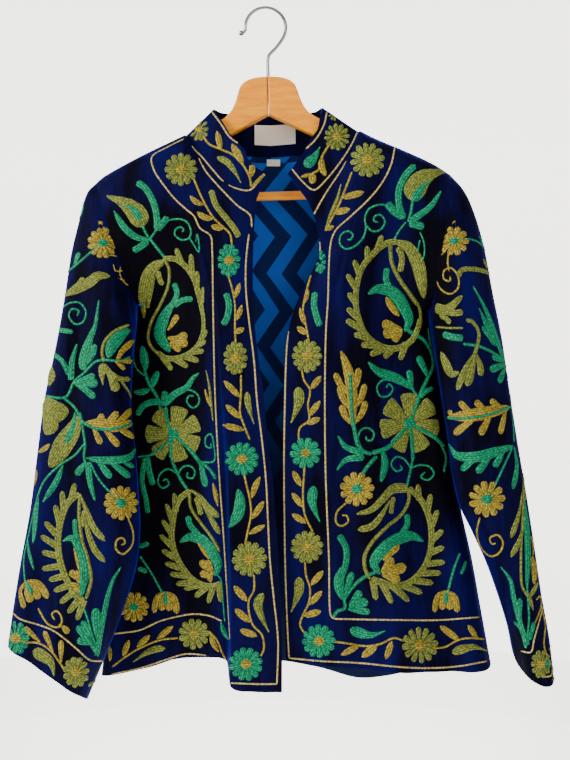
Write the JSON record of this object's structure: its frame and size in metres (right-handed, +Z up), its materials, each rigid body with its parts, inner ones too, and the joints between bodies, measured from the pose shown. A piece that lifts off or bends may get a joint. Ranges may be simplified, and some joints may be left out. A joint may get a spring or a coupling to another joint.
{
  "type": "embroidered velvet jacket on wooden hanger",
  "caption": "Open-fronted velvet jacket with a stand collar, chain-stitch suzani embroidery and a satin lining, hung on a flat wooden hanger with a chromed wire hook.",
  "frame": {"origin": "inside of the hook's crown, where a rail or nail bears", "axes": "+Z up along the hanging plumb line, -Y the jacket's front, -X the wearer's right"},
  "size_m": [0.6217, 0.1119, 0.8049],
  "materials": {
    "velvet": "matt pile",
    "lining_satin": "satin",
    "label_tape": "woven",
    "hanger_wood": "varnished",
    "hook_chrome": "polished"
  },
  "bodies": {
    "root": {"front_right": "velvet", "front_left": "velvet", "back": "velvet", "sleeve_right": "velvet", "sleeve_left": "velvet", "collar": "velvet", "back_lining": "lining_satin", "neck_label": "label_tape", "size_tab": "label_tape", "hanger_hook": "hook_chrome", "hanger_arm_right": "hanger_wood", "hanger_arm_left": "hanger_wood", "hanger_rod": "hanger_wood"}
  },
  "joints": []
}
